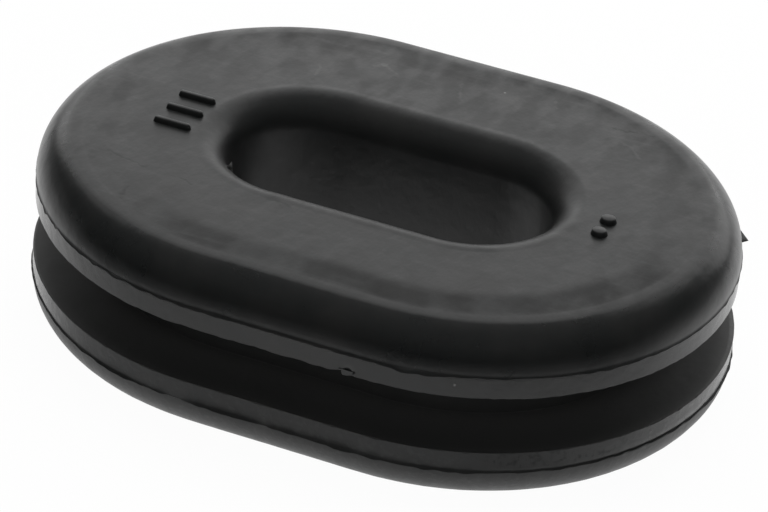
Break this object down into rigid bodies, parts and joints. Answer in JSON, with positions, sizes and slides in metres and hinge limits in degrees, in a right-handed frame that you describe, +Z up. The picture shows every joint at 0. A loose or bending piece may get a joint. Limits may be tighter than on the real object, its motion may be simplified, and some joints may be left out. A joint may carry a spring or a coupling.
{
  "type": "oval grommet",
  "caption": "Oblong moulded rubber grommet with rounded flanges, a panel groove round its edge and a round-ended slot through the middle for a cable.",
  "frame": {"origin": "centre of the lower face, in the plane that the part stands on", "axes": "+X along the part's length, +Y across it, +Z up along the slot towards the upper flange"},
  "size_m": [0.0556, 0.0422, 0.0147],
  "materials": {
    "rubber": "satin moulded rubber"
  },
  "bodies": {
    "root": {"oval_grommet": "rubber"}
  },
  "joints": []
}
